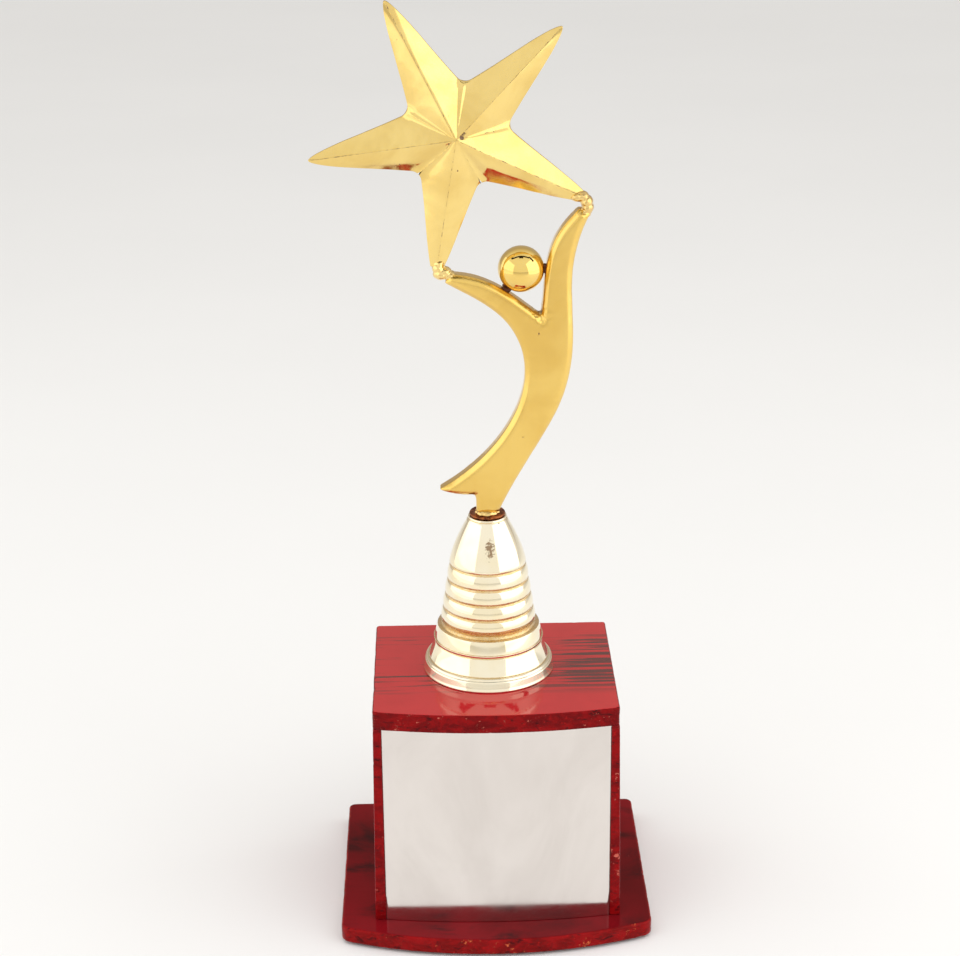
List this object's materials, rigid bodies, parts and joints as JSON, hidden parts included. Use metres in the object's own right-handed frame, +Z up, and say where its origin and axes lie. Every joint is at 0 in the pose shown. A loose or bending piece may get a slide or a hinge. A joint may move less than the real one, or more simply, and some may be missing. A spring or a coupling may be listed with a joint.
{
  "type": "star trophy",
  "caption": "Trophy: a gilt figure of flat casting lifts a facetted star, on a ringed bell riser over a lacquered wooden block with a bowed mirror plate and a wider base board.",
  "frame": {"origin": "middle of the felt's underside, where the trophy rests", "axes": "+Z up, the plate and the bowed fronts face -Y, +X to the right as seen from the front"},
  "size_m": [0.1147, 0.0992, 0.3279],
  "materials": {
    "polished_gilt": "polished gold plate over a casting, with fine brushing and pinholes",
    "satin_gilt": "satin gold plate with bright rounded edges",
    "mirror_gilt": "mirror-polished gold plate",
    "gilt_braze": "lumpy gold-plated braze",
    "brown_braze": "burnt brown braze",
    "oxidised_copper": "oxidised copper brown",
    "pale_metallised": "vacuum-metallised plastic, pale champagne gold, glossy",
    "plated_steel": "zinc plated",
    "screw_steel": "yellow zinc plated",
    "red_lacquer_top": "glossy red lacquer over dark grain",
    "red_lacquer_side": "glossy red lacquer",
    "red_lacquer_base": "glossy dark red lacquer with smoky patches",
    "bare_fibreboard": "bare fibreboard",
    "bare_softwood": "sawn softwood",
    "mirror_plate": "mirror sheet",
    "foam_tape": "white foam tape",
    "black_felt": "black felt"
  },
  "bodies": {
    "root": {"star": "polished_gilt", "figure_body": "satin_gilt", "head_ball": "mirror_gilt", "left_hand_braze": "gilt_braze", "right_hand_braze": "gilt_braze", "foot_braze": "gilt_braze", "head_braze_beads": "brown_braze", "foot_washer": "oxidised_copper", "bell": "pale_metallised", "tie_rod": "plated_steel", "rod_washer": "plated_steel", "rod_nut": "plated_steel", "top_board": "red_lacquer_top", "left_side_board": "red_lacquer_side", "right_side_board": "red_lacquer_side", "back_board": "red_lacquer_side", "front_board": "bare_fibreboard", "corner_battens": "bare_softwood", "engraving_plate": "mirror_plate", "plate_tape": "foam_tape", "base_board": "red_lacquer_base", "base_screws": "screw_steel", "base_felt": "black_felt"}
  },
  "joints": []
}
